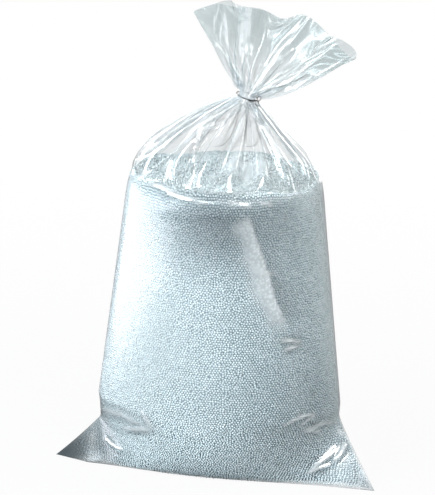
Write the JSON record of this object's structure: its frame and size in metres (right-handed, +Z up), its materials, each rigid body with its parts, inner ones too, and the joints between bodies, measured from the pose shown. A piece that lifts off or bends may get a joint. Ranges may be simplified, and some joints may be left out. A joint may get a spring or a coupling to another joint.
{
  "type": "bag of polystyrene beads",
  "caption": "Clear film bag filled with white polystyrene filler beads, standing on its welded end, its gathered neck closed by a twisted wire tie under a fan of loose film.",
  "frame": {"origin": "middle of the flat patch underneath, on which the bag stands", "axes": "+Z up from the floor to the tied neck, +X to the right along the bottom weld, -Y to the front"},
  "size_m": [0.4, 0.2434, 0.5757],
  "materials": {
    "clear_film": "clear glossy polythene film",
    "beads": "matte white expanded polystyrene beads",
    "dark_wire": "dark coated steel wire"
  },
  "bodies": {
    "root": {"film_bag": "clear_film", "bead_fill": "beads", "wire_tie": "dark_wire"}
  },
  "joints": []
}
